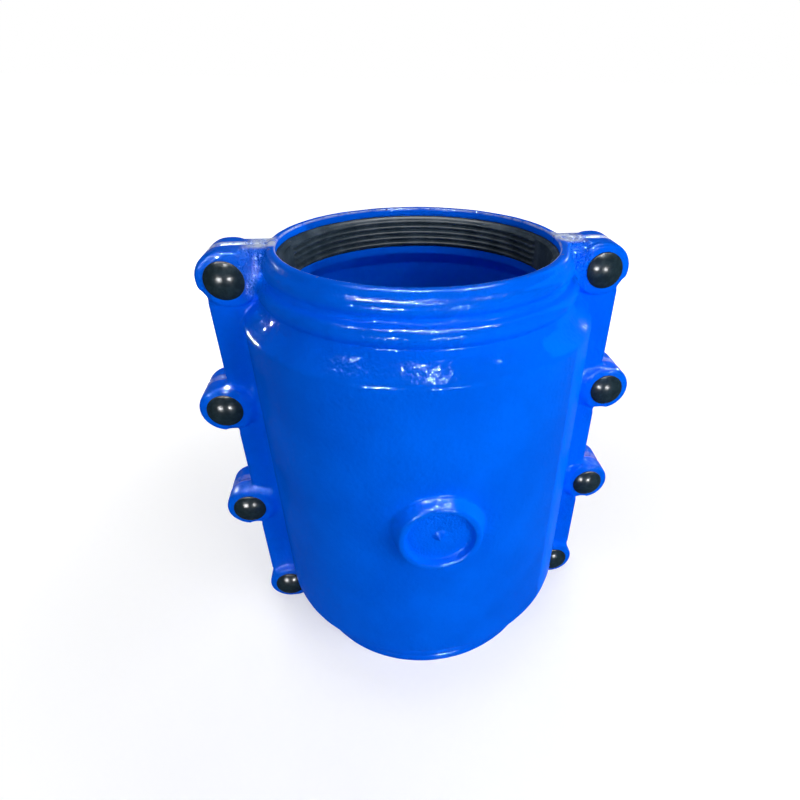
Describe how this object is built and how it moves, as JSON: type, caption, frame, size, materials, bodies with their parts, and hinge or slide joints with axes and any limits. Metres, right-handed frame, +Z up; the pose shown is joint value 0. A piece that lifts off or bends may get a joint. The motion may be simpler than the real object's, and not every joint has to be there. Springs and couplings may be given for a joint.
{
  "type": "bell joint repair clamp",
  "caption": "Two-piece cast clamp for a leaking pipe bell joint: a barrel with a ribbed rubber seal in each neck, bolted along two flanges.",
  "frame": {"origin": "centre of the lower end on the pipe's axis, at the parting plane", "axes": "+Z up along the pipe's axis; -Y toward the front half and the bolt heads; X across the two flanges"},
  "size_m": [0.412, 0.326, 0.412],
  "materials": {
    "casting": "gloss blue epoxy over a rough casting",
    "rubber": "moulded black rubber",
    "black_steel": "semi-gloss black coating",
    "plated_steel": "dull zinc plate"
  },
  "bodies": {
    "front_half": {"front_shell": "casting", "upper_seal_front": "rubber", "lower_seal_front": "rubber", "side_seal_left": "rubber", "side_seal_right": "rubber", "bolt_left_1": "black_steel", "bolt_left_2": "black_steel", "bolt_left_3": "black_steel", "bolt_left_4": "black_steel", "bolt_right_1": "black_steel", "bolt_right_2": "black_steel", "bolt_right_3": "black_steel", "bolt_right_4": "black_steel"},
    "rear_half": {"rear_shell": "casting", "upper_seal_rear": "rubber", "lower_seal_rear": "rubber", "washer_left_1": "plated_steel", "washer_left_2": "plated_steel", "washer_left_3": "plated_steel", "washer_left_4": "plated_steel", "washer_right_1": "plated_steel", "washer_right_2": "plated_steel", "washer_right_3": "plated_steel", "washer_right_4": "plated_steel"},
    "nut_left_1": {"nut_left_1": "plated_steel"},
    "nut_left_2": {"nut_left_2": "plated_steel"},
    "nut_left_3": {"nut_left_3": "plated_steel"},
    "nut_left_4": {"nut_left_4": "plated_steel"},
    "nut_right_1": {"nut_right_1": "plated_steel"},
    "nut_right_2": {"nut_right_2": "plated_steel"},
    "nut_right_3": {"nut_right_3": "plated_steel"},
    "nut_right_4": {"nut_right_4": "plated_steel"}
  },
  "joints": [
    {"name": "rear_half_slide", "type": "slide", "parent": "front_half", "child": "rear_half", "axis": [0, 1, 0], "range_m": [0, 0.02]},
    {"name": "nut_left_1_turn", "type": "hinge", "parent": "rear_half", "child": "nut_left_1", "pos_m": [-0.159, 0.026, 0.388], "axis": [0, 1, 0], "range_deg": [0, 3600]},
    {"name": "nut_left_2_turn", "type": "hinge", "parent": "rear_half", "child": "nut_left_2", "pos_m": [-0.183, 0.026, 0.2665], "axis": [0, 1, 0], "range_deg": [0, 3600]},
    {"name": "nut_left_3_turn", "type": "hinge", "parent": "rear_half", "child": "nut_left_3", "pos_m": [-0.183, 0.026, 0.1455], "axis": [0, 1, 0], "range_deg": [0, 3600]},
    {"name": "nut_left_4_turn", "type": "hinge", "parent": "rear_half", "child": "nut_left_4", "pos_m": [-0.159, 0.026, 0.024], "axis": [0, 1, 0], "range_deg": [0, 3600]},
    {"name": "nut_right_1_turn", "type": "hinge", "parent": "rear_half", "child": "nut_right_1", "pos_m": [0.159, 0.026, 0.388], "axis": [0, 1, 0], "range_deg": [0, 3600]},
    {"name": "nut_right_2_turn", "type": "hinge", "parent": "rear_half", "child": "nut_right_2", "pos_m": [0.183, 0.026, 0.2665], "axis": [0, 1, 0], "range_deg": [0, 3600]},
    {"name": "nut_right_3_turn", "type": "hinge", "parent": "rear_half", "child": "nut_right_3", "pos_m": [0.183, 0.026, 0.1455], "axis": [0, 1, 0], "range_deg": [0, 3600]},
    {"name": "nut_right_4_turn", "type": "hinge", "parent": "rear_half", "child": "nut_right_4", "pos_m": [0.159, 0.026, 0.024], "axis": [0, 1, 0], "range_deg": [0, 3600]}
  ],
  "couplings": [
    {"joint": "nut_left_1_turn", "follows": "rear_half_slide", "rad_per_m": 3141.6},
    {"joint": "nut_left_2_turn", "follows": "rear_half_slide", "rad_per_m": 3141.6},
    {"joint": "nut_left_3_turn", "follows": "rear_half_slide", "rad_per_m": 3141.6},
    {"joint": "nut_left_4_turn", "follows": "rear_half_slide", "rad_per_m": 3141.6},
    {"joint": "nut_right_1_turn", "follows": "rear_half_slide", "rad_per_m": 3141.6},
    {"joint": "nut_right_2_turn", "follows": "rear_half_slide", "rad_per_m": 3141.6},
    {"joint": "nut_right_3_turn", "follows": "rear_half_slide", "rad_per_m": 3141.6},
    {"joint": "nut_right_4_turn", "follows": "rear_half_slide", "rad_per_m": 3141.6}
  ]
}
